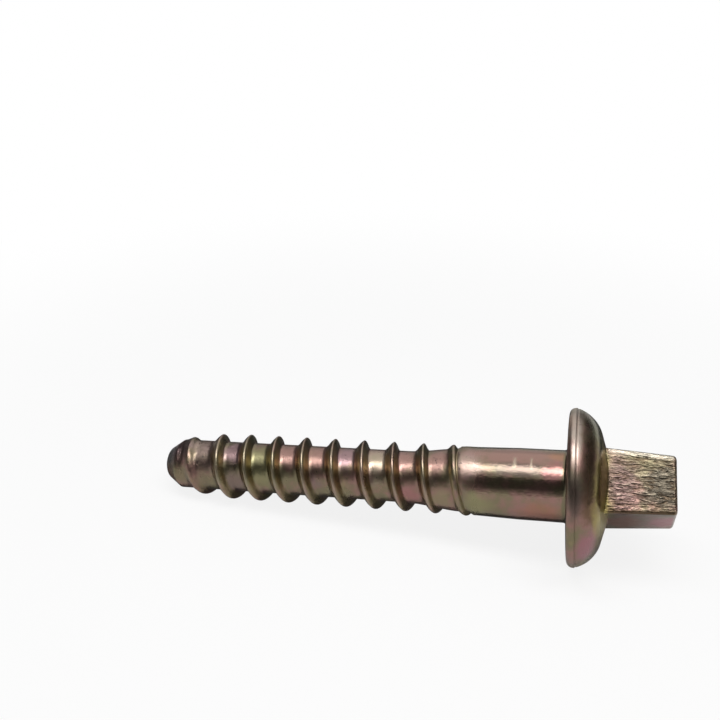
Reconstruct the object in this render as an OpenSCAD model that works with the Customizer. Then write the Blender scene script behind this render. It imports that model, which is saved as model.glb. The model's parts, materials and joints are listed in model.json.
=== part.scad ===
// Rail screw spike, forged and thread-rolled from one bar.
// A tapered square head, a domed collar with a flat seat, a smooth shank, a coarse
// right-hand wood thread and a blunt cone at the tip.
// It lies at rest on the rim of its collar and one crest of its thread, along X,
// with the head at +X. All sizes are in millimetres.

/* [Shank] */
// Diameter of the smooth shank
shank_d = 24; // [20:0.5:28]
// Length from the seat under the collar to the end of the tip
under_collar = 148; // [125:1:200]
// Length from the seat to the end of the smooth shank
smooth_len = 30; // [24:1:40]
// Length of the slight cone at the lower end of the smooth shank
neck_len = 14; // [8:1:18]
// Diameter where the shank meets the threaded length
neck_d = 23.3; // [19.2:0.1:27.5]
// Radius of the fillet between the shank and the seat
seat_fillet = 1.5; // [0.5:0.1:3]

/* [Thread] */
// Distance from one crest to the next
pitch = 11; // [9.5:0.25:14]
// Diameter over the crests
thread_d = 24; // [20.5:0.1:27.8]
// Diameter of the core between the ridges
core_d = 18; // [14.5:0.25:21]
// Width of the narrow top of the ridge
crest_land = 0.5; // [0.3:0.1:1.2]
// Width of the slanting flank that faces the tip
tip_flank = 3; // [2.4:0.1:4]
// Width of the steeper flank that faces the head
head_flank = 1.9; // [1.5:0.1:3]
// Distance from the end of the tip to the first crest of full height on the underside
first_crest = 28.3; // [26:0.1:34]
// Length over which the ridge rises behind the tip
run_in = 18; // [8:0.5:19]
// How far ahead of a plain helix the ridge starts, towards the tip
lead_in = 1.8; // [0:0.1:3]
// Length below the smooth shank in which the core swells
run_out = 25; // [20:0.5:35]
// Diameter of the swollen core below the last turn of the ridge
root_d = 21.6; // [18:0.1:23]

/* [Tip] */
// Diameter of the flat end
tip_d = 6.4; // [4:0.2:9]
// Diameter where the end chamfer meets the cone
chamfer_d = 11.6; // [10:0.2:13]
// Length of the end chamfer
chamfer_len = 1.5; // [1:0.1:3]
// Length from the flat end to the start of the thread
cone_len = 6.4; // [5:0.1:9]

/* [Collar] */
// Diameter of the collar
collar_d = 52.5; // [46:0.5:60]
// Radius of the round edge of the seat
seat_edge = 2; // [1:0.1:2.6]
// Height of the rim above the seat
rim_h = 2.9; // [2.7:0.1:4]
// Step inwards where the rim meets the crown
rim_step = 0.25; // [0.1:0.05:0.5]
// Radius of the round crown of the collar
crown_r = 12.2; // [10.5:0.1:14]
// Height of the dome above the seat, at the flats of the head
dome_h = 12.6; // [11:0.1:14]
// Slope of the dome beside the head, in degrees
dome_slope = 15.5; // [10:0.5:20]

/* [Head] */
// Width across the flats at the dome
head_base_w = 21.5; // [18:0.5:24]
// Width across the flats at the end
head_end_w = 19; // [16:0.5:21.5]
// Height of the end of the head above the seat
head_top = 33.3; // [28:0.1:40]
// How far the corners of the square are turned off
corner_cut = 0.45; // [0.2:0.05:1]
// Radius of the round edges of the end
end_round = 1.2; // [0.5:0.1:2]
// Turn of the square about the axis, in degrees
head_turn = 39; // [0:1:89]

/* [Hidden] */
$fn = 96;

// The spike is drawn upright: the seat is at height 0, the head above it and the
// tip below it, so heights below the seat are negative.
shank_r = shank_d / 2;
neck_r = neck_d / 2;
core_r = core_d / 2;
root_r = root_d / 2;
crest_r = thread_d / 2;
collar_r = collar_d / 2;

// Real penetration where one form runs into the next
overlap = 2;
// Small ledge that keeps a threaded end inside or outside its neighbour
ledge = 0.1;

// Threaded length, from the cone at the tip into the shank
thread_low = -under_collar + cone_len;
thread_high = -smooth_len + overlap;

// Facets around the thread, and how near an end a facet corner joins that end.
// The corners are half a step off the lowest line, so that a facet faces the floor.
around = 36;
half_step = 0.5;
end_snap = 0.25;
// The seam of the round forms faces up, just off the highest line
seam_turn = 182.3;
// Exponent of the quick rise of the ridge behind the tip
rise_power = 0.6;
// Length over which the ridge dies away below the smooth shank
fade_len = 1.8;
// Length over which the core swells, and that of the step up to the neck
swell_len = 20;
step_len = 1.5;
// Distance along the axis from the last turn of the ridge to the step behind it
groove_len = 2.2;

function clamp01(t) = max(0, min(1, t));
function ease(t) = let (c = clamp01(t)) c * c * (3 - 2 * c);

// Height and angle at which the ridge ends, and the height of the step up to the neck.
// The step slants round the axis, so that it follows the last half turn of the ridge.
crest_0 = -under_collar + first_crest;
ridge_end = -smooth_len - fade_len;
end_angle = 360 * (ridge_end - crest_0) / pitch;
function step_at(angle) = ridge_end + groove_len - pitch / 4 * (1 - cos(angle - end_angle));

// Core radius at a height and an angle round the axis
function core_at(h, angle) =
    let (swell = ease((h + smooth_len + run_out) / swell_len))
    let (step = ease((h - step_at(angle)) / step_len + 0.5))
    let (root = core_r + (root_r - core_r) * swell)
    root + (neck_r - root) * step;

// Share of the full ridge that stands at a height.
function ridge_share(h) =
    let (rise = pow(clamp01((h - thread_low) / run_in), rise_power))
    let (fade = ease((h - ridge_end) / fade_len))
    rise * (1 - fade);

function thread_radius(h, angle, part) =
    let (core = core_at(h, angle))
    core + max(0, crest_r - core) * part * ridge_share(h);

// Nearly straight flank from the crest, at 0, to the root, at 1
flank_bend = 0.3;
function flank(q) = 1 - q + flank_bend * sin(360 * q) / (2 * PI);

// Lines that run along the thread, as [offset from the crest, part of the ridge's height]
tip_steps = 3;
head_steps = 3;
half_land = crest_land / 2;
root_width = pitch - crest_land - tip_flank - head_flank;
lines = concat(
    [for (k = [tip_steps:-1:0]) [-half_land - tip_flank * k / tip_steps, flank(k / tip_steps)]],
    [for (k = [0:head_steps]) [half_land + head_flank * k / head_steps, flank(k / head_steps)]],
    [[half_land + head_flank + root_width / 2, 0]]
);
per_turn = len(lines);

// Turns that cover the whole length
first_turn = floor((thread_low - crest_0) / pitch) - 2;
last_turn = ceil((thread_high - crest_0) / pitch) + 1;
line_count = per_turn * (last_turn - first_turn + 1);

// Height on the ridge from that on a plain helix
function led(h) = h - lead_in * (1 - clamp01((h - thread_low) / run_in));

function line_height(i, j) =
    let (turn = first_turn + floor(j / per_turn) + (i + half_step) / around)
    led(crest_0 + pitch * turn + lines[j % per_turn][0]);

// Corner number at angle step i on line j. A line that has run past an end shares that
// end's ring, and one full turn carries a line onto the line one pitch above.
function corner(i, j) =
    i == around ? corner(0, j + per_turn)
    : j >= line_count ? around + i
    : line_height(i, j) <= thread_low + end_snap ? i
    : line_height(i, j) >= thread_high - end_snap ? around + i
    : 2 * around + i * line_count + j;

function angle_at(i) = 360 * (i + half_step) / around;
function on_ring(i, radius, h) = [radius * cos(angle_at(i)), radius * sin(angle_at(i)), h];

// Threaded length: a skin of triangles that follows the helix.
module threaded_length() {
    corners = concat(
        [for (i = [0:around - 1]) on_ring(i, core_r, thread_low)],
        [for (i = [0:around - 1]) on_ring(i, neck_r, thread_high)],
        [for (i = [0:around - 1]) for (j = [0:line_count - 1])
            let (h = line_height(i, j))
            on_ring(i, thread_radius(h, angle_at(i), lines[j % per_turn][1]), h)]
    );
    halves = [for (i = [0:around - 1]) for (j = [0:line_count - 2])
        let (a = corner(i, j))
        let (b = corner(i + 1, j))
        let (c = corner(i + 1, j + 1))
        let (d = corner(i, j + 1))
        each [[a, d, c], [a, c, b]]];
    skin = [for (t = halves) if (t[0] != t[1] && t[1] != t[2] && t[2] != t[0]) t];
    low_end = [for (i = [0:around - 1]) i];
    high_end = [for (i = [around - 1:-1:0]) around + i];
    polyhedron(points = corners, faces = concat([low_end, high_end], skin));
}

// Blunt cone at the tip, which runs into the threaded length.
module tip_cone() {
    buried_r = core_r - ledge;
    rotate(seam_turn)
        rotate_extrude()
            polygon([
                [0, -under_collar],
                [tip_d / 2, -under_collar],
                [chamfer_d / 2, -under_collar + chamfer_len],
                [buried_r, thread_low],
                [buried_r, thread_low + overlap],
                [0, thread_low + overlap]
            ]);
}

// The dome is a cone beside the head that runs into the round crown without a crease.
// The crown's centre lies at its radius below the slope, and its arc ends at the rim.
dome_top = [0, dome_h + head_base_w / 2 * tan(dome_slope)];
down_slope = [cos(dome_slope), -sin(dome_slope)];
off_slope = [sin(dome_slope), cos(dome_slope)];
rim_edge = [collar_r - rim_step, rim_h];
rim_depth = (dome_top - rim_edge) * off_slope;
rim_along = (rim_edge - dome_top) * down_slope;
crown_along = rim_along - sqrt(rim_depth * (2 * crown_r - rim_depth));
crown_start = dome_top + crown_along * down_slope;
crown_centre = crown_start - crown_r * off_slope;

// Half section of the smooth shank, with its slight cone and the fillet under the seat.
module shank_section() {
    polygon([
        [0, -smooth_len],
        [neck_r + ledge, -smooth_len],
        [shank_r, -smooth_len + neck_len],
        [shank_r, rim_h],
        [0, rim_h]
    ]);
    difference() {
        translate([shank_r - ledge, -seat_fillet])
            square([seat_fillet + ledge, seat_fillet + ledge]);
        translate([shank_r + seat_fillet, -seat_fillet])
            circle(seat_fillet);
    }
}

// Half section of the collar: seat with a round edge, rim, crown and dome.
module collar_section() {
    square([collar_r - seat_edge, rim_h]);
    translate([0, seat_edge])
        square([collar_r, rim_h - seat_edge]);
    translate([collar_r - seat_edge, seat_edge])
        circle(seat_edge);
    polygon([
        [0, 0],
        [crown_centre[0], rim_h - ledge],
        crown_start,
        dome_top
    ]);
    intersection() {
        translate(crown_centre)
            circle(crown_r);
        translate([crown_centre[0], rim_h - ledge])
            square([collar_r, dome_h]);
    }
}

module shank_and_collar() {
    rotate(seam_turn)
        rotate_extrude() {
            shank_section();
            collar_section();
        }
}

// Side view of the head: a slight taper, with a round edge at the end.
head_root = rim_h;
head_draft = atan((head_base_w - head_end_w) / 2 / (head_top - dome_h));
function head_half(h) = head_base_w / 2 - (h - dome_h) * tan(head_draft);
round_steps = 4;
round_centre = [head_half(head_top - end_round) - end_round / cos(head_draft), head_top - end_round];

module head_side() {
    edge = [for (k = [0:round_steps])
        let (turn = head_draft + (90 - head_draft) * k / round_steps)
        round_centre + end_round * [cos(turn), sin(turn)]];
    right = concat([[head_half(head_root), head_root]], edge);
    left = [for (k = [len(right) - 1:-1:0]) [-right[k][0], right[k][1]]];
    polygon(concat(right, left));
}

module head_slab() {
    rotate([90, 0, 0])
        linear_extrude(2 * head_base_w, center = true)
            head_side();
}

// Square head with its corners turned off.
module square_head() {
    diagonal = sqrt(2);
    rotate(head_turn)
        intersection() {
            head_slab();
            rotate(90) head_slab();
            rotate_extrude()
                polygon([
                    [0, head_root - ledge],
                    [head_half(head_root) * diagonal - corner_cut, head_root - ledge],
                    [head_half(head_top - end_round) * diagonal - corner_cut, head_top - end_round],
                    [head_half(head_top) * diagonal - corner_cut - end_round, head_top + ledge],
                    [0, head_top + ledge]
                ]);
        }
}

// At rest the rim and the lowest crest touch the floor. Each crest on the underside
// would stop the tip from sinking at its own tilt, and the least of these holds.
underside = [for (k = [first_turn:last_turn])
    let (h = led(crest_0 + k * pitch)) if (h > thread_low && h < ridge_end) h];
facet_share = cos(180 / around);
function tilt_on(h) =
    let (drop = collar_r - seat_edge - thread_radius(h, 0, 1) * facet_share)
    let (reach = seat_edge - h)
    acos(-seat_edge / norm([drop, reach])) - atan2(reach, drop);
tilt = min([for (h = underside) tilt_on(h)]);
lift = (collar_r - seat_edge) * cos(tilt) + seat_edge * (1 - sin(tilt));

// The origin is on the floor under the middle of the length.
end_reach = max([for (k = [0:3]) head_half(head_top) * sqrt(2) * cos(head_turn + 45 + 90 * k)]) - end_round;
low_x = -under_collar * cos(tilt) - tip_d / 2 * sin(tilt);
high_x = head_top * cos(tilt) + end_reach * sin(tilt);

module screw_spike() {
    color([0.72, 0.62, 0.45])
        translate([-(low_x + high_x) / 2, 0, lift])
            rotate([0, 90 - tilt, 0]) {
                shank_and_collar();
                square_head();
                threaded_length();
                tip_cone();
            }
}

screw_spike();
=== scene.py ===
import json
import math
from typing import NamedTuple

import bpy
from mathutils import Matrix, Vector


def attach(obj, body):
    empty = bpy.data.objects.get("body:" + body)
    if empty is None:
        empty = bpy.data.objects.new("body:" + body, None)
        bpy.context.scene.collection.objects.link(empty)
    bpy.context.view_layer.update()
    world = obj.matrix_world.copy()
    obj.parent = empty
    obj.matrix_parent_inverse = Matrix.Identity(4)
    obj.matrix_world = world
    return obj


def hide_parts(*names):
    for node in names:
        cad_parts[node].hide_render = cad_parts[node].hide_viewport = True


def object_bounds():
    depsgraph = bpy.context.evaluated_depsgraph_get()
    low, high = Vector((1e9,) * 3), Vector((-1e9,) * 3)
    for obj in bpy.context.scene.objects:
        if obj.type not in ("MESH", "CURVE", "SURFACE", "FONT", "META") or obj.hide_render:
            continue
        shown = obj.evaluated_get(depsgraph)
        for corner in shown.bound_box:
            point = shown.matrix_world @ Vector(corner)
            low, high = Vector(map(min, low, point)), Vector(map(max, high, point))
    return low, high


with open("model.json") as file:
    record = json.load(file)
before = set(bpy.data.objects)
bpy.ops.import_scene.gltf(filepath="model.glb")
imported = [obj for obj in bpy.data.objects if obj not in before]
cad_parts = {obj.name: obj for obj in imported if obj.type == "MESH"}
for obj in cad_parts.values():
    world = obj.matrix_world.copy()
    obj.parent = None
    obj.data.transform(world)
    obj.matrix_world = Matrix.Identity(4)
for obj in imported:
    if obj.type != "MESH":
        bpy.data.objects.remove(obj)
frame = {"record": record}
cad_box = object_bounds()

# Units: the spike's own sizes are in millimetres, the scene is in metres, angles are in degrees.
MM = 0.001
FULL_TURN = 360.0
QUARTER_TURN = 90.0
ROOT_2 = math.sqrt(2)

# Place of the spike, from its mounts: the shank gives the axis, the seat ends it.
mounts = {mount["name"]: mount for mount in frame["record"]["mounts"]}
SHANK = mounts["shank"]
SEAT_FILLET = 1.5
AXIS = -Vector(SHANK["axis"]).normalized()
SEAT_CENTRE = Vector(SHANK["pos_m"]) + AXIS * (SHANK["dims"]["length_mm"] / 2 + SEAT_FILLET) * MM
LEAN = math.acos(AXIS.z)
COLLAR_R = (cad_box[1][1] - cad_box[0][1]) / 2 / MM

# Sizes of the spike, which become the inputs of its node tree. Heights are counted along the axis
# from the seat, the head up and the tip down.
SIZES = {
    # Shank, and the slight cone below it
    "Shank radius": SHANK["dims"]["r_mm"],
    "Neck height": -30.0,
    "Neck length": 14.0,
    "Neck radius": 11.65,
    "Seat fillet": SEAT_FILLET,
    # Ridge of the thread and the core under it
    "Pitch": 11.0,
    "Crest radius": mounts["thread"]["dims"]["r_mm"],
    "Core radius": 9.0,
    "Crest land": 0.9,
    "Crest bow": 0.08,
    "Tip flank": 2.8,
    "Head flank": 1.7,
    "Flank bend": 0.3,
    # Lower end of the thread, where the ridge rises and lies a little nearer to the tip
    "First crest": 28.3,
    "Run in": 18.0,
    "Rise power": 0.6,
    "Lead in": 1.8,
    # Upper end, where the core swells, the last turns lie closer and a step follows the ridge
    "Run out": 25.0,
    "Swell length": 20.0,
    "Root radius": 10.8,
    "Fade length": 1.8,
    "Groove length": 0.8,
    "Step slant": 2.7,
    "Step length": 0.9,
    "Close up": 1.0,
    "Close up from": -60.0,
    # Tip
    "Tip height": -148.0,
    "Tip radius": 3.2,
    "Chamfer radius": 5.8,
    "Chamfer length": 1.5,
    "Cone length": 6.4,
    # Collar, with a crease between its rim and its crown
    "Collar radius": COLLAR_R,
    "Seat edge": 2.0,
    "Rim height": 2.9,
    "Rim step": 0.25,
    "Lip drop": 0.35,
    "Crease drop": 0.05,
    "Crease depth": 0.2,
    "Crown lift": 0.15,
    "Crown radius": 12.2,
    "Dome height": 12.6,
    "Dome slope": 15.5,
    # Square head: half widths at its foot and end, its top, its turn round the axis and its edges
    "Head base": 10.75,
    "Head end": 9.5,
    "Head top": 33.3,
    "Head turn": 39.0,
    "Head foot": 0.35,
    "Corner cut": 0.45,
    "Corner blend": 0.25,
    "End round": 1.2,
    # Depths of the rough flats and of the forged waves, and the seed of both
    "Rough depth": 0.08,
    "Wave depth": 0.035,
    "Seed": 7.0,
}

# Resolution of the skin: flats of the head, columns round it, lines along one turn of the thread,
# those of them on the tip flank, the crest and the head flank, turns to spare past the ends of the
# thread, and rows along each other zone
FLATS = 4
COLUMNS = 216
LINES_PER_TURN = 24
RIDGE_LINES = (8, 5, 6)
SPARE_TURNS = 3
ROWS = {
    "tip end": 4, "tip edge": 5, "chamfer": 2, "cone edge": 5, "cone": 5,
    "neck": 20, "shank": 22, "seat fillet": 6,
    "seat": 8, "seat edge": 8, "rim": 2, "lip": 2, "crease": 2, "crown": 26, "dome": 10,
    "head foot": 5, "flats": 56, "end round": 6, "end": 8,
}
# Points of neighbouring zones that lie closer than this become one
MERGE_MM = 0.002

# Where the round edges of the tip start and stop, as shares of the straight stretch they cut
TIP_END_STOP = 0.8
CHAMFER_START = 0.3
CHAMFER_STOP = 0.85
CONE_START = 0.08

# Share of a rough flat's half width from which its roughness fades to the corner
ROUGH_FADE = 0.96


class Field:
    """A value in a node tree. Arithmetic on it adds Math nodes to the tree."""

    def __init__(self, tree, socket):
        self.tree = tree
        self.socket = socket

    def math(self, operation, *others):
        node = self.tree.nodes.new("ShaderNodeMath")
        node.operation = operation
        for socket, value in zip(node.inputs, (self, *others)):
            plug(self.tree, value, socket)
        return Field(self.tree, node.outputs[0])

    def __add__(self, other):
        return self.math("ADD", other)

    def __sub__(self, other):
        return self.math("SUBTRACT", other)

    def __rsub__(self, other):
        return self.math("MULTIPLY", -1.0) + other

    def __mul__(self, other):
        return self.math("MULTIPLY", other)

    def __truediv__(self, other):
        return self.math("DIVIDE", other)

    def __pow__(self, other):
        return self.math("POWER", other)

    def __neg__(self):
        return self.math("MULTIPLY", -1.0)

    __radd__ = __add__
    __rmul__ = __mul__


def plug(tree, value, socket):
    """Link a field or a socket to an input, or set the input to a plain value."""
    if isinstance(value, Field):
        tree.links.new(value.socket, socket)
    elif isinstance(value, bpy.types.NodeSocket):
        tree.links.new(value, socket)
    else:
        socket.default_value = value


def add_node(tree, kind, settings=None, **inputs):
    """A node with its settings and inputs; an input's name has _ for a space."""
    node = tree.nodes.new(kind)
    for name, value in (settings or {}).items():
        setattr(node, name, value)
    for name, value in inputs.items():
        plug(tree, value, node.inputs[name.replace("_", " ")])
    return node


def vector_math(tree, operation, *vectors, **inputs):
    """A Vector Math node on the given vectors."""
    node = add_node(tree, "ShaderNodeVectorMath", {"operation": operation}, **inputs)
    for socket, vector in zip(node.inputs, vectors):
        plug(tree, vector, socket)
    return node


def ramp(value, start, end, smooth=False):
    """0 before start, 1 after end, and straight or smooth between them."""
    node = add_node(value.tree, "ShaderNodeMapRange",
                    {"interpolation_type": "SMOOTHSTEP" if smooth else "LINEAR"},
                    Value=value, From_Min=start, From_Max=end)
    return Field(value.tree, node.outputs["Result"])


def stretch(value, start, end, smooth=False):
    """1 from one pair to another: it sets in over the first and ends over the second."""
    return ramp(value, *start, smooth) * (1.0 - ramp(value, *end, smooth))


def mix(a, b, share):
    """A value on the way from one to another."""
    return share * (b - a) + a


def between(start, end, share):
    """A point of the section on the way from one point to another."""
    return tuple(mix(a, b, share) for a, b in zip(start, end))


def sine(degrees):
    return degrees.math("RADIANS").math("SINE")


def cosine(degrees):
    return degrees.math("RADIANS").math("COSINE")


class Pattern(NamedTuple):
    """Noise in turns per millimetre, with its stretch round and along the axis."""
    scale: float
    around: float = 1.0
    along: float = 1.0
    detail: float = 3.0
    rough: float = 0.55
    wavy: float = 0.0


def noise(tree, place, pattern):
    """A pattern around 0, half a unit to each side, at a place in millimetres."""
    drawing = (pattern.around, pattern.around, pattern.along)
    drawn = vector_math(tree, "MULTIPLY", place, drawing)
    node = add_node(tree, "ShaderNodeTexNoise", Vector=drawn.outputs[0], Scale=pattern.scale,
                    Detail=pattern.detail, Roughness=pattern.rough, Distortion=pattern.wavy)
    return Field(tree, node.outputs["Fac"]) - 0.5


# Unevenness of the skin: streaks on the rough flats of the head, and waves from the forging
FLAT_STREAKS = Pattern(0.95, along=0.22, detail=4.0, rough=0.6)
FORGED_WAVES = Pattern(0.13, detail=2.0, rough=0.5)


class SpikeSkin:
    """Geometry node tree of the spike, from its named sizes.

    The skin is made of zones between one ring and the next. Each zone is a grid: along it runs
    from 0 to 1 towards the head, and turn from 0 to 1 round the axis.
    """

    def __init__(self):
        self.tree = bpy.data.node_groups.new("screw_spike_skin", "GeometryNodeTree")
        face = self.tree.interface
        for name, value in SIZES.items():
            socket = face.new_socket(name, in_out="INPUT", socket_type="NodeSocketFloat")
            socket.default_value = value
        face.new_socket("Finish", in_out="INPUT", socket_type="NodeSocketMaterial")
        face.new_socket("Geometry", in_out="OUTPUT", socket_type="NodeSocketGeometry")
        self.entry = self.tree.nodes.new("NodeGroupInput")
        self.zones = []
        self.place_on_grid()
        self.derive()

    def size(self, name):
        return Field(self.tree, self.entry.outputs[name])

    def place_on_grid(self):
        """Row and angle of a grid point, with the columns even on the head's flats."""
        place = add_node(self.tree, "ShaderNodeSeparateXYZ",
                         Vector=self.tree.nodes.new("GeometryNodeInputPosition").outputs[0])
        self.along = Field(self.tree, place.outputs["X"]) + 0.5
        turn = Field(self.tree, place.outputs["Y"]) + 0.5
        steps = (turn * COLUMNS).math("ROUND") * (FLATS / COLUMNS)
        self.quarter = steps.math("FLOOR")
        self.across = (steps - self.quarter) * 2.0 - 1.0
        on_flat = self.across.math("ARCTANGENT").math("DEGREES")
        self.angle = on_flat + self.quarter * QUARTER_TURN + self.size("Head turn")
        self.bend = self.along * QUARTER_TURN

    def derive(self):
        """Sizes that follow from the named ones."""
        self.slope_tan = self.size("Dome slope").math("RADIANS").math("TANGENT")
        self.dome_top = self.size("Dome height") + self.size("Head base") * self.slope_tan
        self.draft = (self.size("Head base") - self.size("Head end")) / (
            self.size("Head top") - self.size("Dome height"))
        self.thread_low = self.size("Tip height") + self.size("Cone length")
        self.thread_high = self.size("Neck height")
        foot_r = self.outline(self.size("Head base"))
        self.foot_height = self.dome_top - foot_r * self.slope_tan

    def head_half(self, height):
        return self.size("Head base") - (height - self.size("Dome height")) * self.draft

    def outline(self, half):
        """Radius of the square at this angle, with its corners turned off."""
        flat = (self.across * self.across + 1.0).math("SQRT") * half
        corner = half * ROOT_2 - self.size("Corner cut")
        return flat.math("SMOOTH_MIN", corner, self.size("Corner blend"))

    def add_zone(self, rows, radius, height, marks=None):
        """A grid bent round the axis, with named marks for the finish to read."""
        tree = self.tree
        grid = add_node(tree, "GeometryNodeMeshGrid", Size_X=1.0, Size_Y=1.0,
                        Vertices_X=rows + 1, Vertices_Y=COLUMNS + 1)
        skin = grid.outputs["Mesh"]
        for name, value in (marks or {}).items():
            mark = add_node(tree, "GeometryNodeStoreNamedAttribute",
                            {"data_type": "FLOAT", "domain": "POINT"},
                            Geometry=skin, Name=name, Value=value)
            skin = mark.outputs["Geometry"]
        spot = add_node(tree, "ShaderNodeCombineXYZ", X=radius * cosine(self.angle),
                        Y=radius * sine(self.angle), Z=height)
        bent = add_node(tree, "GeometryNodeSetPosition", Geometry=skin,
                        Position=spot.outputs["Vector"])
        self.zones.append(bent.outputs["Geometry"])

    def add_straight(self, rows, start, end):
        """A cone, a cylinder or a flat ring between two points of the section."""
        self.add_zone(rows, *between(start, end, self.along))

    def add_bend(self, rows, start, corner, end, marks=None):
        """A round edge from start to end, whose tangents meet at corner."""
        coming = 1.0 - self.along
        weights = (coming * coming, coming * self.along * 2.0, self.along * self.along)
        radius, height = (sum(weight * value for weight, value in zip(weights, values))
                          for values in zip(start, corner, end))
        self.add_zone(rows, radius, height, marks)

    def tip(self):
        """Flat end, chamfer and cone, with round edges."""
        low = self.size("Tip height")
        pole = (0.0, low)
        end_edge = (self.size("Tip radius"), low)
        chamfer_edge = (self.size("Chamfer radius"), low + self.size("Chamfer length"))
        cone_edge = (self.size("Core radius"), self.thread_low)
        end_stop = between(pole, end_edge, TIP_END_STOP)
        chamfer_start = between(end_edge, chamfer_edge, CHAMFER_START)
        chamfer_stop = between(end_edge, chamfer_edge, CHAMFER_STOP)
        cone_start = between(chamfer_edge, cone_edge, CONE_START)
        self.add_straight(ROWS["tip end"], pole, end_stop)
        self.add_bend(ROWS["tip edge"], end_stop, end_edge, chamfer_start)
        self.add_straight(ROWS["chamfer"], chamfer_start, chamfer_stop)
        self.add_bend(ROWS["cone edge"], chamfer_stop, chamfer_edge, cone_start)
        self.add_straight(ROWS["cone"], cone_start, cone_edge)

    def thread(self):
        """Ridge on a helix. Its rows follow the helix, and stop at both ends of the thread."""
        pitch = self.size("Pitch")
        first = self.size("First crest") + self.size("Tip height")
        length = SIZES["Neck height"] - SIZES["Tip height"] - SIZES["Cone length"]
        rows = (math.ceil(length / SIZES["Pitch"]) + SPARE_TURNS) * LINES_PER_TURN
        below_first = SIZES["First crest"] - SIZES["Cone length"]
        turns_below = math.ceil(below_first / SIZES["Pitch"]) + 1
        line = (self.along * rows).math("ROUND") / LINES_PER_TURN
        whole = line.math("FLOOR")
        crest = first + pitch * (whole - turns_below + self.angle / FULL_TURN)
        left = (self.size("Crest radius") - self.core(crest)) / (
            self.size("Crest radius") - self.size("Core radius"))
        narrow = left.math("SQRT")
        flanks = (self.size("Tip flank") * narrow, self.size("Head flank") * narrow)
        offset = self.across_ridge(line - whole, flanks)
        plain = crest + offset
        risen = ramp(plain, self.thread_low, self.thread_low + self.size("Run in"))
        closer = ramp(plain, self.size("Close up from"), self.thread_high) * self.size("Close up")
        height = plain - self.size("Lead in") * (1.0 - risen) - closer
        height = height.math("MAXIMUM", self.thread_low).math("MINIMUM", self.thread_high)

        ridge_end = self.thread_high - self.size("Fade length")
        risen = ramp(height, self.thread_low, self.thread_low + self.size("Run in"))
        fade = ramp(height, ridge_end, self.thread_high, smooth=True)
        ridge = self.ridge(offset, flanks) * risen ** self.size("Rise power") * (1.0 - fade)
        end_angle = (ridge_end - first) / pitch * FULL_TURN
        slant = (1.0 - cosine(self.angle - end_angle)) * self.size("Step slant")
        step = ridge_end + self.size("Groove length") - slant
        half_step = self.size("Step length") / 2.0
        core = mix(self.core(height), self.size("Neck radius"),
                   ramp(height, step - half_step, step + half_step, smooth=True))
        radius = core + (self.size("Crest radius") - core) * ridge
        self.add_zone(rows, radius, height, {"crest": ridge})

    def across_ridge(self, part, flanks):
        """How far along the axis from the crest's middle a part of one turn's lines lies."""
        tip_flank, head_flank = flanks
        land = self.size("Crest land")
        widths = (tip_flank, land, head_flank,
                  self.size("Pitch") - tip_flank - land - head_flank)
        offset = land / -2.0 - tip_flank
        done = 0.0
        for width, count in zip(widths, (*RIDGE_LINES, LINES_PER_TURN - sum(RIDGE_LINES))):
            offset = offset + ramp(part, done, done + count / LINES_PER_TURN) * width
            done += count / LINES_PER_TURN
        return offset

    def ridge(self, offset, flanks):
        """Section of the ridge: 1 on the crest, which is a little bowed, and 0 at the roots."""
        half_land = self.size("Crest land") / 2.0
        below = (-offset - half_land) / flanks[0]
        above = (offset - half_land) / flanks[1]
        fall = below.math("MAXIMUM", above).math("MAXIMUM", 0.0).math("MINIMUM", 1.0)
        flank = 1.0 - fall + sine(fall * FULL_TURN) * self.size("Flank bend") / (2.0 * math.pi)
        on_land = (offset / half_land).math("ABSOLUTE").math("MINIMUM", 1.0)
        return flank * (1.0 - on_land * on_land * self.size("Crest bow"))

    def core(self, height):
        """Radius between the ridges, which swells towards the shank."""
        start = self.thread_high - self.size("Run out")
        swell = ramp(height, start, start + self.size("Swell length"), smooth=True)
        return mix(self.size("Core radius"), self.size("Root radius"), swell)

    def shank(self):
        """Smooth shank, from its slight cone to the fillet under the seat."""
        fillet = self.size("Seat fillet")
        neck = (self.size("Neck radius"), self.size("Neck height"))
        start = (self.size("Shank radius"), self.size("Neck height") + self.size("Neck length"))
        end = (self.size("Shank radius"), -fillet)
        self.add_straight(ROWS["neck"], neck, start)
        self.add_straight(ROWS["shank"], start, end)
        self.add_zone(ROWS["seat fillet"], end[0] + fillet * (1.0 - cosine(self.bend)),
                      fillet * (sine(self.bend) - 1.0))

    def collar(self):
        """Seat, round edge, rim with a crease, crown and dome."""
        edge = self.size("Seat edge")
        outer = self.size("Collar radius")
        rim = self.size("Rim height")
        seat_start = self.size("Shank radius") + self.size("Seat fillet")
        self.add_straight(ROWS["seat"], (seat_start, 0.0), (outer - edge, 0.0))
        self.add_zone(ROWS["seat edge"], outer - edge + edge * sine(self.bend),
                      edge * (1.0 - cosine(self.bend)))
        lip = (outer, rim - self.size("Lip drop"))
        inner = outer - self.size("Rim step")
        crease = (inner - self.size("Crease depth"), rim - self.size("Crease drop"))
        crown_edge = (inner, rim + self.size("Crown lift"))
        self.add_straight(ROWS["rim"], (outer, edge), lip)
        self.add_straight(ROWS["lip"], lip, crease)
        self.add_straight(ROWS["crease"], crease, crown_edge)
        start, end, middle = self.crown_arc(crown_edge)
        turn = mix(start, end, self.along)
        reach = self.size("Crown radius")
        self.add_zone(ROWS["crown"], middle[0] + reach * cosine(turn),
                      middle[1] + reach * sine(turn))
        self.dome((middle[0] + reach * cosine(end), middle[1] + reach * sine(end)))

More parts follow.
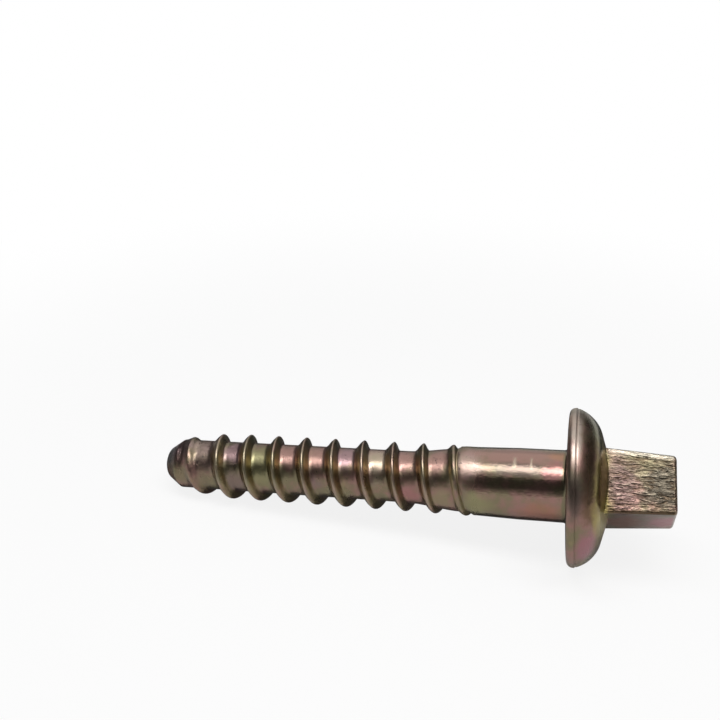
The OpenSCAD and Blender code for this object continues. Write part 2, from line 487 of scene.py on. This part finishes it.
    def crown_arc(self, rim_edge):
        """Start and end angles and centre of the crown, which runs into the dome's slope."""
        slope = self.size("Dome slope")
        reach = self.size("Crown radius")
        drop = self.dome_top - rim_edge[1]
        depth = sine(slope) * (-rim_edge[0]) + cosine(slope) * drop
        run = cosine(slope) * rim_edge[0] + sine(slope) * drop
        run = run - (depth * (reach * 2.0 - depth)).math("SQRT")
        centre = (run * cosine(slope) - reach * sine(slope),
                  self.dome_top - run * sine(slope) - reach * cosine(slope))
        start = (rim_edge[1] - centre[1]).math("ARCTAN2", rim_edge[0] - centre[0]).math("DEGREES")
        return start, QUARTER_TURN - slope, centre

    def dome(self, start):
        """Cone from the crown to the foot of the square head, with a small fillet there."""
        foot = self.size("Head foot")
        foot_r = self.outline(self.head_half(self.foot_height))
        before = (foot_r + foot, self.foot_height - foot * self.slope_tan)
        after_height = self.foot_height + foot
        after = (self.outline(self.head_half(after_height)), after_height)
        self.add_straight(ROWS["dome"], start, before)
        self.add_bend(ROWS["head foot"], before, (foot_r, self.foot_height), after,
                      {"rough_flat": self.on_rough_flat()})

    def on_rough_flat(self):
        """1 on the two opposite flats that were left rough."""
        even = (self.quarter.math("MODULO", 2.0) - 1.0).math("ABSOLUTE")
        return even * (1.0 - ramp(self.across.math("ABSOLUTE"), ROUGH_FADE, 1.0, smooth=True))

    def head(self):
        """Tapered flats, round end edges and the flat end."""
        top = self.size("Head top")
        edge = self.size("End round")
        height = mix(self.foot_height + self.size("Head foot"), top - edge, self.along)
        self.add_zone(ROWS["flats"], self.outline(self.head_half(height)), height,
                      {"rough_flat": self.on_rough_flat()})
        half = self.head_half(top - edge)
        self.add_zone(ROWS["end round"], self.outline(half - edge * (1.0 - cosine(self.bend))),
                      top - edge + edge * sine(self.bend),
                      {"rough_flat": self.on_rough_flat() * (1.0 - self.along)})
        self.add_zone(ROWS["end"], self.outline(half - edge) * (1.0 - self.along), top)

    def close(self):
        """Join the zones, roughen the skin, lay the spike down and give it its finish."""
        tree = self.tree
        joined = tree.nodes.new("GeometryNodeJoinGeometry")
        for zone in reversed(self.zones):
            tree.links.new(zone, joined.inputs["Geometry"])
        whole = add_node(tree, "GeometryNodeMergeByDistance", Geometry=joined.outputs[0],
                         Distance=MERGE_MM)
        turned = add_node(tree, "GeometryNodeFlipFaces", Mesh=whole.outputs[0])
        roughened = self.roughen(turned.outputs[0])
        laid = add_node(tree, "GeometryNodeTransform", Geometry=roughened, Translation=SEAT_CENTRE,
                        Rotation=(0.0, LEAN, 0.0), Scale=(MM, MM, MM))
        smooth = add_node(tree, "GeometryNodeSetShadeSmooth", Geometry=laid.outputs[0])
        real = add_node(tree, "GeometryNodeRealizeInstances", Geometry=smooth.outputs[0])
        finish = add_node(tree, "GeometryNodeSetMaterial", Geometry=real.outputs[0],
                          Material=self.entry.outputs["Finish"])
        leave = tree.nodes.new("NodeGroupOutput")
        tree.links.new(finish.outputs[0], leave.inputs["Geometry"])
        return tree

    def roughen(self, skin):
        """Forged waves all over, and streaks along the axis on two opposite flats of the head."""
        tree = self.tree
        place = tree.nodes.new("GeometryNodeInputPosition").outputs[0]
        normal = tree.nodes.new("GeometryNodeInputNormal").outputs[0]
        seed = self.size("Seed")
        spread = add_node(tree, "ShaderNodeCombineXYZ", X=seed, Y=seed, Z=seed)
        shifted = vector_math(tree, "ADD", place, spread.outputs[0]).outputs[0]
        mark = add_node(tree, "GeometryNodeInputNamedAttribute", {"data_type": "FLOAT"},
                        Name="rough_flat")
        rough_flat = Field(tree, mark.outputs["Attribute"])
        streaks = noise(tree, shifted, FLAT_STREAKS) * rough_flat * self.size("Rough depth")
        waves = noise(tree, shifted, FORGED_WAVES) * self.size("Wave depth")
        offset = vector_math(tree, "SCALE", normal, Scale=(streaks + waves) * 2.0)
        moved = add_node(tree, "GeometryNodeSetPosition", Geometry=skin, Offset=offset.outputs[0])
        return moved.outputs["Geometry"]


def make_spike(finish):
    """The spike as one plain mesh, in its place."""
    skin = SpikeSkin()
    for part in (skin.tip, skin.thread, skin.shank, skin.collar, skin.head):
        part()
    tree = skin.close()
    maker = bpy.data.objects.new("spike_maker", bpy.data.meshes.new("spike_maker"))
    bpy.context.scene.collection.objects.link(maker)
    modifier = maker.modifiers.new("skin", "NODES")
    modifier.node_group = tree
    values = {**SIZES, "Finish": finish}
    for item in tree.interface.items_tree:
        if item.in_out == "INPUT":
            modifier[item.identifier] = values[item.name]
    evaluated = maker.evaluated_get(bpy.context.evaluated_depsgraph_get())
    mesh = bpy.data.meshes.new_from_object(evaluated)
    bpy.data.objects.remove(maker)
    spike = bpy.data.objects.new("rail_screw_spike", mesh)
    bpy.context.scene.collection.objects.link(spike)
    return spike


# Colours of the plating, as it shows on the plain metal, and of the painted highlights and shade laid
# over it
OLIVE = (0.21, 0.18, 0.11)
ROSE = (0.30, 0.175, 0.15)
GOLD = (0.31, 0.25, 0.13)
AMBER = (0.34, 0.28, 0.10)
GREEN = (0.175, 0.18, 0.09)
LIME = (0.26, 0.245, 0.13)
MAGENTA = (0.38, 0.14, 0.20)
MAUVE = (0.22, 0.145, 0.15)
LILAC = (0.33, 0.205, 0.235)
BROWN = (0.16, 0.10, 0.06)
UMBER = (0.09, 0.06, 0.035)
CHARCOAL = (0.05, 0.045, 0.045)
CREAM = (0.46, 0.39, 0.29)
BLUSH = (0.52, 0.38, 0.35)
TAN = (0.155, 0.103, 0.092)
DRAB = (0.072, 0.062, 0.048)
# Painted highlight, for the upper rim of the collar
PAINTED_RIM_HIGHLIGHT = (0.46, 0.395, 0.34)
PINK = (0.40, 0.14, 0.16)
RUST = (0.36, 0.165, 0.115)
# Painted shade, to dim highlights and darken bands
PAINTED_SHADE = (0.14, 0.115, 0.095)
SALMON = (0.34, 0.205, 0.175)
ORANGE = (0.42, 0.22, 0.11)
MOSS = (0.165, 0.15, 0.09)
# Painted highlight, for the top edge of the head
PAINTED_HIGHLIGHT = (0.75, 0.70, 0.58)


class Patch(NamedTuple):
    """A patch of one colour: its middle, at an angle up from the front, and its half sizes."""
    height: float
    angle: float
    half_length: float
    half_angle: float
    colour: tuple
    share: float


PATCHES = {
    # Darker over the tip
    "sooty tip": Patch(-146.0, 75, 8.0, 85, CHARCOAL, 0.95),
    "mauve cone": Patch(-140.0, 80, 6, 55, MAUVE, 0.7),
    "olive cone": Patch(-139.0, 5, 6, 40, GREEN, 0.6),
    "first root": Patch(-129.5, 55, 6.5, 60, MAUVE, 0.5),
    "first root, top": Patch(-130.5, 90, 8, 40, BLUSH, 0.5),
    "first root, below": Patch(-129.0, -15, 7, 50, OLIVE, 0.85),
    "second root": Patch(-118.5, 72, 5.5, 55, LILAC, 0.7),
    "second root, below": Patch(-117.5, -10, 5, 40, MAUVE, 0.6),
    "third root": Patch(-107.5, 35, 5.5, 75, LIME, 0.8),
    "fourth root": Patch(-97.0, 76, 5.5, 50, SALMON, 0.9),
    "fifth root": Patch(-86.3, 76, 5.5, 48, SALMON, 0.9),
    "sixth root": Patch(-75.6, 72, 5.5, 46, LILAC, 0.8),
    "seventh root": Patch(-65.0, 65, 5.5, 60, CREAM, 0.65),
    "eighth root": Patch(-55.4, 78, 5.5, 48, SALMON, 0.9),
    "eighth root, below": Patch(-52.6, -8, 5, 30, PINK, 0.3),
    "ninth root": Patch(-43.0, 72, 5, 46, SALMON, 0.9),
    "ninth root, below": Patch(-41.5, -8, 5, 32, LIME, 0.55),
    "neck, top": Patch(-32.0, 70, 6, 45, BLUSH, 0.45),
    "neck, below": Patch(-31.0, -12, 6, 40, LIME, 0.6),
    "shank end": Patch(-28.0, -5, 6, 26, LIME, 0.5),
    "shank below": Patch(-8.5, -20, 9, 40, RUST, 0.6),
    # Partly the plating's pink, partly painted light: a lighter band along the top of the shank
    "shank top": Patch(-16.0, 86, 24, 32, SALMON, 0.9),
    # Painted shade: darker where the softbox's highlight falls on the shank, to dim it
    "shank front": Patch(-15.0, 56, 19, 18, PAINTED_SHADE, 0.8),
    "shank by the seat": Patch(-4.0, 55, 6, 26, PINK, 0.4),
    "shank by the seat, top": Patch(-1.5, 88, 7, 14, ORANGE, 0.45),
    "seat fillet": Patch(-0.7, 20, 1.3, 170, MOSS, 0.8),
    # Painted highlight: lighter strips along the top of the rim
    "rim": Patch(2.6, 80, 2.8, 40, PAINTED_RIM_HIGHLIGHT, 0.75),
    # Painted shade: a darker band down the middle of the rim
    "rim, middle": Patch(2.6, 30, 4.0, 24, PAINTED_SHADE, 0.75),
    # Painted reflection: greenish grey on top of the crown
    "crown, green": Patch(9.5, 92, 5, 34, GREEN, 0.8),
    "crown, magenta": Patch(6.5, -14, 5, 22, MAGENTA, 0.6),
    # Painted shade: darker brown bands across the crown
    "crown, brown": Patch(8.0, 45, 4.5, 45, BROWN, 0.75),
    "crown, low": Patch(8.0, 18, 4.5, 16, BROWN, 0.8),
    "dome": Patch(11.6, 25, 4.2, 85, AMBER, 0.95),
}
# Patches on the flats of the head
HEAD_PATCHES = {
    "rough flat": Patch(15.5, 45, 10, 60, TAN, 0.9),
    "rough flat, end": Patch(29.5, 45, 10, 60, DRAB, 0.95),
    "lower flat": Patch(30.5, -45, 9, 44, PINK, 0.95),
    "lower flat, left": Patch(17.0, -45, 8, 44, RUST, 0.9),
}
# Patches that lie over the rest, along two edges of the head: a painted highlight along the top edge,
# and a dark line along the lower edge
HEAD_EDGES = {
    "top edge": Patch(24.0, 98, 30, 10, PAINTED_HIGHLIGHT, 0.6),
    "lower edge": Patch(24.0, 6, 30, 4.5, UMBER, 0.85),
}
# A patch is full to this share of its half size, and its edge wanders by this much of it
PATCH_FULL = 0.35
PATCH_WANDER = 0.9
HEAD_EDGE_WANDER = 0.09

PATTERNS = {
    "drift": Pattern(0.07, detail=4.0),
    "mottle": Pattern(0.4),
    "tints": Pattern(0.11, around=0.6),
    "patch edges": Pattern(0.25),
    "streaks": Pattern(0.92, along=0.22, detail=2.0, rough=0.5, wavy=1.0),
    "lumps": Pattern(0.62, along=0.5, detail=2.0),
    "specks": Pattern(0.9, detail=2.0, rough=0.6),
    "speck clouds": Pattern(0.12, detail=2.0),
    "smears": Pattern(0.35, around=0.5, along=1.5, detail=4.0),
    "neck edge": Pattern(0.3),
    "scuff edges": Pattern(0.8),
    "grain": Pattern(3.2),
    "rings": Pattern(1.1, around=0.16, detail=4.0, rough=0.6),
    "pits": Pattern(1.3, detail=2.0),
    "dents": Pattern(0.35, rough=0.6),
    "blots": Pattern(0.6, along=0.6, detail=4.0, rough=0.7),
}

# A pair below is where something sets in and where it is full: two heights, two angles, or two
# levels of a pattern or of the ridge, which is 0 at the roots and 1 on the crest.

# General tint: from rose to olive with the drift, with some gold and mauve over it
MOTTLE_SHARE = 0.35
OLIVE_LEVEL = (-0.16, 0.12)
TINTS = (((0.08, 0.24), GOLD, 0.7), ((-0.1, -0.26), MAUVE, 0.6))
# Stretches along the axis, each as the pair where it starts and the pair where it ends
NECK_HEIGHT = SIZES["Neck height"]
HEAD_END = (SIZES["Head top"] - SIZES["End round"], SIZES["Head top"])
SHANK_STRETCH = ((NECK_HEIGHT - 4.0, NECK_HEIGHT), (-2.0, -1.0))
RIM_STRETCH = ((-0.5, 0.5), (4.0, 9.0))
DOME_STRETCH = ((9.5, 11.0), (12.4, 12.8))
FLATS_STRETCH = ((SIZES["Dome height"] - 0.4, SIZES["Dome height"] + 0.2), HEAD_END)
# Rough flats: how streaks and lumps add up, the painted shade in their hollows and the painted glints
# on their tops
STREAKS_SHARE = 1.2
LUMPS_SHARE = 0.6
PAINTED_SHADE_IN_HOLLOWS = ((-0.02, -0.2), UMBER, 0.6)
PAINTED_GLINTS = ((0.06, 0.24), CREAM, 0.3)
# Ridges: gold flanks, which are green above, and crests lightened partly by wear and partly by a
# painted highlight, which fade at the run-out
FLANK_STRETCH = ((0.05, 0.3), (0.75, 0.95))
FLANK_SHARE = 0.55
FLANK_GREEN = (80.0, 105.0)
FULL_RIDGE = (-133.0, -122.0)
CREST_LEVEL = (0.86, 1.0)
CREST_SHARE = 0.35
CREST_FADE = (-42.0, -36.0)
CREST_LOST = 0.8
# Dark specks on the upper side
SPECK_LEVEL = (0.11, 0.18)
SPECK_CLOUD_LEVEL = (-0.05, 0.15)
SPECKS_ABOVE = (5.0, 30.0)
SPECK_SHARE = 0.75
# Scuffs round the upper front of the shank, each as its height and half width. They are rougher, and
# their cream is a painted highlight
SCUFFS = ((-17.0, 1.1), (-11.6, 0.75))
SCUFF_STRETCH = ((57.0, 64.0), (76.0, 84.0))
SCUFF_WANDER = 0.3
SCUFF_HIGHLIGHT_SHARE = 0.5
# Roughness: the general one, and what is added to it
PLAIN_ROUGHNESS = 0.19
ADDED_ROUGHNESS = {
    "smears": 0.24, "thread": 0.12, "neck": 0.11, "shank": -0.03, "scuffs": 0.16, "rim": 0.17,
    "dome": 0.16, "rough flats": 0.14,
}
NECK_START = (-40.0, -34.0)
NECK_END = (-30.0, -27.0)
NECK_WANDER = 5.0
# Depths of the surface marks in millimetres
GRAIN_DEPTH = 0.006
RING_DEPTH = 0.03
PIT_DEPTH = 0.05
STREAK_DEPTH = 0.26
DENT_DEPTH = 0.05
BLOT_DEPTH = 0.025
# Pits, which are closer together near the tip
PIT_LEVEL = (0.14, 0.24)
TIP_PITS = 0.1
TIP_PITS_END = (-124.0, -112.0)


class SpikeFinish:
    """Yellow chromated zinc, with its tints, pits, specks and rolling marks, and painted highlights
    and shade.
    """

    def __init__(self):
        self.material = bpy.data.materials.new("yellow_zinc")
        self.material.use_nodes = True
        self.tree = self.material.node_tree
        self.shader = self.tree.nodes["Principled BSDF"]
        coordinates = self.tree.nodes.new("ShaderNodeTexCoord").outputs["Object"]
        self.place = add_node(self.tree, "ShaderNodeMapping", {"vector_type": "TEXTURE"},
                              Vector=coordinates, Location=SEAT_CENTRE, Rotation=(0.0, LEAN, 0.0),
                              Scale=(MM, MM, MM)).outputs[0]
        parts = add_node(self.tree, "ShaderNodeSeparateXYZ", Vector=self.place)
        down, away, self.height = (Field(self.tree, parts.outputs[axis]) for axis in "XYZ")
        self.angle = (-down).math("ARCTAN2", -away).math("DEGREES")
        self.crest = self.mark("crest")
        self.rough_flat = self.mark("rough_flat")
        self.streaks = self.pattern("streaks") * STREAKS_SHARE + self.pattern("lumps") * LUMPS_SHARE
        self.thread = 1.0 - ramp(self.height, *SHANK_STRETCH[0])
        self.shank = stretch(self.height, *SHANK_STRETCH)

    def mark(self, name):
        node = add_node(self.tree, "ShaderNodeAttribute", {"attribute_name": name})
        return Field(self.tree, node.outputs["Fac"])

    def pattern(self, name):
        return noise(self.tree, self.place, PATTERNS[name])

    def blend(self, share, below, above):
        """One colour over another. A Mix node has its colours behind its numbers and vectors."""
        node = add_node(self.tree, "ShaderNodeMix", {"data_type": "RGBA"})
        plug(self.tree, share, node.inputs[0])
        for socket, colour in ((node.inputs[6], below), (node.inputs[7], above)):
            plug(self.tree, (*colour, 1.0) if isinstance(colour, tuple) else colour, socket)
        return node.outputs[2]

    def colour(self):
        """The general tint, then what lies over it."""
        plain = self.plain_tint()
        wander = self.pattern("patch edges")
        tint = plain
        for patch in PATCHES.values():
            tint = self.lay(patch, wander * PATCH_WANDER, tint)
        on_flats = stretch(self.height, *FLATS_STRETCH)
        for patch in HEAD_PATCHES.values():
            tint = self.lay(patch, wander * PATCH_WANDER, tint, on_flats)
        # Painted shade in the hollows of the streaks on the rough flats, and painted glints on their
        # tops
        for level, colour, share in (PAINTED_SHADE_IN_HOLLOWS, PAINTED_GLINTS):
            tint = self.blend(ramp(self.streaks, *level) * self.rough_flat * share, tint, colour)
        for patch in HEAD_EDGES.values():
            tint = self.lay(patch, wander * HEAD_EDGE_WANDER, tint, on_flats)
        tint = self.blend(ramp(self.height, *HEAD_END, smooth=True), tint, plain)
        # Painted highlight: cream over the scuffs
        tint = self.blend(self.scuffs() * SCUFF_HIGHLIGHT_SHARE, tint, CREAM)
        tint = self.blend(self.specks() * SPECK_SHARE, tint, CHARCOAL)
        return self.ridge_tint(tint)

    def plain_tint(self):
        """Drifting tints of the plating."""
        drift = self.pattern("drift") + self.pattern("mottle") * MOTTLE_SHARE
        tint = self.blend(ramp(drift, *OLIVE_LEVEL, smooth=True), ROSE, OLIVE)
        other = self.pattern("tints")
        for level, colour, share in TINTS:
            tint = self.blend(ramp(other, *level, smooth=True) * share, tint, colour)
        return tint

    def ridge_tint(self, tint):
        """The flanks and the crests of the thread over the tint: the crests lightened partly by wear,
        partly by a painted highlight.
        """
        flank = stretch(self.crest, *FLANK_STRETCH, smooth=True) * ramp(self.height, *FULL_RIDGE)
        flank_tint = self.blend(ramp(self.angle, *FLANK_GREEN, smooth=True), GOLD, GREEN)
        tint = self.blend(flank * FLANK_SHARE, tint, flank_tint)
        left = 1.0 - ramp(self.height, *CREST_FADE) * CREST_LOST
        # Cream along the crests: partly wear, partly a painted highlight
        crest_wear_and_highlight = ramp(self.crest, *CREST_LEVEL, smooth=True) * left * CREST_SHARE
        return self.blend(crest_wear_and_highlight, tint, CREAM)

    def lay(self, patch, wander, tint, where=1.0):
        """A patch with a ragged edge over the tint."""
        along = (self.height - patch.height) / patch.half_length
        across = (self.angle - patch.angle) / patch.half_angle
        reach = (along * along + across * across).math("SQRT") + wander
        share = (1.0 - ramp(reach, PATCH_FULL, 1.0, smooth=True)) * (where * patch.share)
        return self.blend(share, tint, patch.colour)

    def specks(self):
        """Dark specks on the upper side, apart from the shank and the rough flats."""
        clouds = ramp(self.pattern("speck clouds"), *SPECK_CLOUD_LEVEL)
        above = ramp(self.angle, *SPECKS_ABOVE)
        bare = (1.0 - self.rough_flat) * (1.0 - self.shank)
        return ramp(self.pattern("specks"), *SPECK_LEVEL) * clouds * above * bare

    def scuffs(self):
        """Short scuffs round the upper front of the shank."""
        every = 0.0
        for height, half_width in SCUFFS:
            wander = self.pattern("scuff edges") * SCUFF_WANDER
            near = (self.height - height + wander).math("ABSOLUTE")
            every = every + (1.0 - ramp(near, 0.0, half_width, smooth=True))
        return every * stretch(self.angle, *SCUFF_STRETCH, smooth=True)

    def roughness(self):
        """The general roughness, and what each place adds to it."""
        neck_edge = self.height + self.pattern("neck edge") * NECK_WANDER
        neck_left = 1.0 - ramp(neck_edge, *NECK_END, smooth=True)
        places = {
            "smears": self.pattern("smears"),
            "thread": self.thread,
            "neck": ramp(self.height, *NECK_START) * neck_left,
            "shank": self.shank,
            "scuffs": self.scuffs(),
            "rim": stretch(self.height, *RIM_STRETCH),
            "dome": stretch(self.height, *DOME_STRETCH),
            "rough flats": self.rough_flat,
        }
        return sum((place * ADDED_ROUGHNESS[name] for name, place in places.items()), PLAIN_ROUGHNESS)

    def relief(self):
        """Height of the surface marks in millimetres, from patterns half a unit high and deep."""
        grain = self.pattern("grain") * (2.0 * GRAIN_DEPTH) * (self.shank + 1.0)
        rings = self.pattern("rings") * (2.0 * RING_DEPTH) * self.shank
        near_tip = 1.0 - ramp(self.height, *TIP_PITS_END)
        pitted = ramp(self.pattern("pits") + near_tip * TIP_PITS, *PIT_LEVEL, smooth=True)
        pits = pitted * -PIT_DEPTH * self.thread
        streaks = self.streaks * (2.0 * STREAK_DEPTH) * self.rough_flat
        dents = self.pattern("dents") * (2.0 * DENT_DEPTH)
        blots = self.pattern("blots") * (2.0 * BLOT_DEPTH) * self.shank
        return grain + rings + pits + streaks + dents + blots

    def finish(self):
        bump = add_node(self.tree, "ShaderNodeBump", Height=self.relief(), Strength=1.0, Distance=MM)
        plug(self.tree, self.colour(), self.shader.inputs["Base Color"])
        plug(self.tree, self.roughness(), self.shader.inputs["Roughness"])
        plug(self.tree, bump.outputs["Normal"], self.shader.inputs["Normal"])
        self.shader.inputs["Metallic"].default_value = 1.0
        return self.material


# Camera, as the photograph was taken: lens from its fitted focal length in pixels
FRAME_PX = 720
FOCAL_PX = 821.2
SENSOR_MM = 36.0
CLIP_START = 0.01
CAMERA_TURN = (62.7159, -0.1266, 15.0800)
CAMERA_FROM_SEAT = Vector((-9.153, -234.46, 162.849))


def make_camera():
    data = bpy.data.cameras.new("camera")
    data.sensor_width = SENSOR_MM
    data.lens = SENSOR_MM * FOCAL_PX / FRAME_PX
    data.clip_start = CLIP_START
    camera = bpy.data.objects.new("camera", data)
    camera.location = SEAT_CENTRE + CAMERA_FROM_SEAT * MM
    camera.rotation_euler = [math.radians(angle) for angle in CAMERA_TURN]
    bpy.context.scene.collection.objects.link(camera)
    bpy.context.scene.camera = camera


def rays_seen(tree):
    """1 for what the camera sees directly, and 1 for what it sees by way of gloss or glass."""
    rays = tree.nodes.new("ShaderNodeLightPath").outputs
    camera, glossy, passing = (
        Field(tree, rays[f"Is {kind} Ray"]) for kind in ("Camera", "Glossy", "Transmission"))
    return camera, glossy.math("MAXIMUM", passing)


def make_plane(name, corners):
    mesh = bpy.data.meshes.new(name)
    mesh.from_pydata(corners, [], [(0, 1, 2, 3)])
    plane = bpy.data.objects.new(name, mesh)
    material = bpy.data.materials.new(name)
    material.use_nodes = True
    mesh.materials.append(material)
    bpy.context.scene.collection.objects.link(plane)
    return plane, material.node_tree


def level_corners(near, far, height):
    """Corners of a level rectangle between two of its corners, upwards."""
    return [(*near, height), (far[0], near[1], height), (*far, height), (near[0], far[1], height)]


# Floor: white from a little way off. Near the spike the camera sees it nearly white, with the
# shadow, and gloss shows it as it is lit.
FLOOR_HALF = 6.0
FLOOR_COLOUR = (0.9, 0.9, 0.9, 1.0)
FLOOR_ROUGHNESS = 0.9
NEAR_WHITE = 0.85
WHITE_FROM = 0.12
WHITE_AT = 0.4
GLOSS_WHITE_AT = 0.9


def make_floor():
    half = FLOOR_HALF
    floor, tree = make_plane("floor", level_corners((-half, -half), (half, half), 0.0))
    paint = tree.nodes["Principled BSDF"]
    paint.inputs["Base Color"].default_value = FLOOR_COLOUR
    paint.inputs["Roughness"].default_value = FLOOR_ROUGHNESS
    place = tree.nodes.new("ShaderNodeTexCoord").outputs["Object"]
    distance = Field(tree, vector_math(tree, "LENGTH", place).outputs["Value"])
    far = ramp(distance, WHITE_FROM, WHITE_AT, smooth=True)
    gloss_far = ramp(distance, WHITE_FROM, GLOSS_WHITE_AT, smooth=True)
    camera, gloss = rays_seen(tree)
    whiteness = (camera * mix(NEAR_WHITE, 1.0, far)).math("MAXIMUM", gloss * gloss_far)
    white = add_node(tree, "ShaderNodeEmission", Strength=1.0)
    both = add_node(tree, "ShaderNodeMixShader", Fac=whiteness)
    tree.links.new(paint.outputs[0], both.inputs[1])
    tree.links.new(white.outputs[0], both.inputs[2])
    tree.links.new(both.outputs[0], tree.nodes["Material Output"].inputs["Surface"])


# Cards round the spike, which the camera doesn't see. They darken its reflections. Each has its
# two ends on the floor, its height, and its levels at the floor and from CARD_FADE up.
CARDS = {
    "left": ((-0.75, 0.9), (-0.75, -0.6), 0.86, 0.25, 0.05),
    "front": ((-0.75, -0.6), (0.65, -0.6), 0.86, 0.45, 0.075),
    "front_right": ((0.65, -0.6), (0.65, -0.3), 0.86, 0.7, 0.28),
    "right": ((0.65, -0.3), (0.65, 0.1), 0.86, 0.25, 0.12),
    "far_right": ((0.65, 0.1), (0.65, 0.9), 0.86, 0.65, 0.1),
    "back": ((-0.55, 0.9), (0.08, 0.9), 0.55, 0.55, 0.7),
    "back_left": ((-0.75, 0.9), (-0.55, 0.9), 0.55, 0.1, 0.06),
    "back_right": ((0.08, 0.9), (0.65, 0.9), 0.6, 0.1, 0.06),
    "low": ((-0.25, 0.075), (0.25, 0.075), 0.03, 0.06, 0.06),
}
CARD_FADE = (0.0, 0.24)
# A dark card on the floor under and behind the spike, which only gloss sees: painted shade on the
# floor in the spike's reflections. Given as its near and far corner, lift and level
FLOOR_SHADE_CARD = ((-0.13, -0.008), (0.06, 0.07), 0.0006, 0.06)


def make_card(name, corners, floor_level, level):
    card, tree = make_plane(name + "_card", corners)
    coordinates = tree.nodes.new("ShaderNodeTexCoord").outputs["Object"]
    place = add_node(tree, "ShaderNodeSeparateXYZ", Vector=coordinates)
    height = Field(tree, place.outputs["Z"])
    shade = mix(floor_level, level, ramp(height, *CARD_FADE, smooth=True))
    glow = add_node(tree, "ShaderNodeEmission", Strength=shade)
    tree.links.new(glow.outputs[0], tree.nodes["Material Output"].inputs["Surface"])
    card.visible_camera = False
    card.visible_diffuse = False
    card.visible_shadow = False


def make_cards():
    for name, (start, end, top, floor_level, level) in CARDS.items():
        corners = [(*start, 0.0), (*start, top), (*end, top), (*end, 0.0)]
        make_card(name, corners, floor_level, level)
    near, far, lift, level = FLOOR_SHADE_CARD
    make_card("floor", level_corners(near, far, lift), level, level)


# Softbox over the spike and a little towards the camera, and a white room
SOFTBOX_PLACE = (0.065, -0.125, 0.72)
SOFTBOX_TILT = math.radians(-12)
SOFTBOX_SIZE = (0.87, 0.25)
SOFTBOX_WATTS = 4.1
ROOM_COLOUR = (1.0, 1.0, 1.0, 1.0)
ROOM_LIGHT = 0.3


def make_lights():
    data = bpy.data.lights.new("softbox", "AREA")
    data.shape = "RECTANGLE"
    data.size, data.size_y = SOFTBOX_SIZE
    data.energy = SOFTBOX_WATTS
    light = bpy.data.objects.new("softbox", data)
    light.location = SOFTBOX_PLACE
    light.rotation_euler = (SOFTBOX_TILT, 0.0, 0.0)
    bpy.context.scene.collection.objects.link(light)
    world = bpy.data.worlds.new("room")
    world.use_nodes = True
    tree = world.node_tree
    background = tree.nodes["Background"]
    background.inputs["Color"].default_value = ROOM_COLOUR
    camera, gloss = rays_seen(tree)
    strength = mix(ROOM_LIGHT, 1.0, camera.math("MAXIMUM", gloss))
    plug(tree, strength, background.inputs["Strength"])
    bpy.context.scene.world = world


bpy.context.scene.view_settings.view_transform = "Standard"
make_camera()
make_floor()
make_cards()
make_lights()
spike = make_spike(SpikeFinish().finish())
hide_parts("screw_spike")
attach(spike, "root")
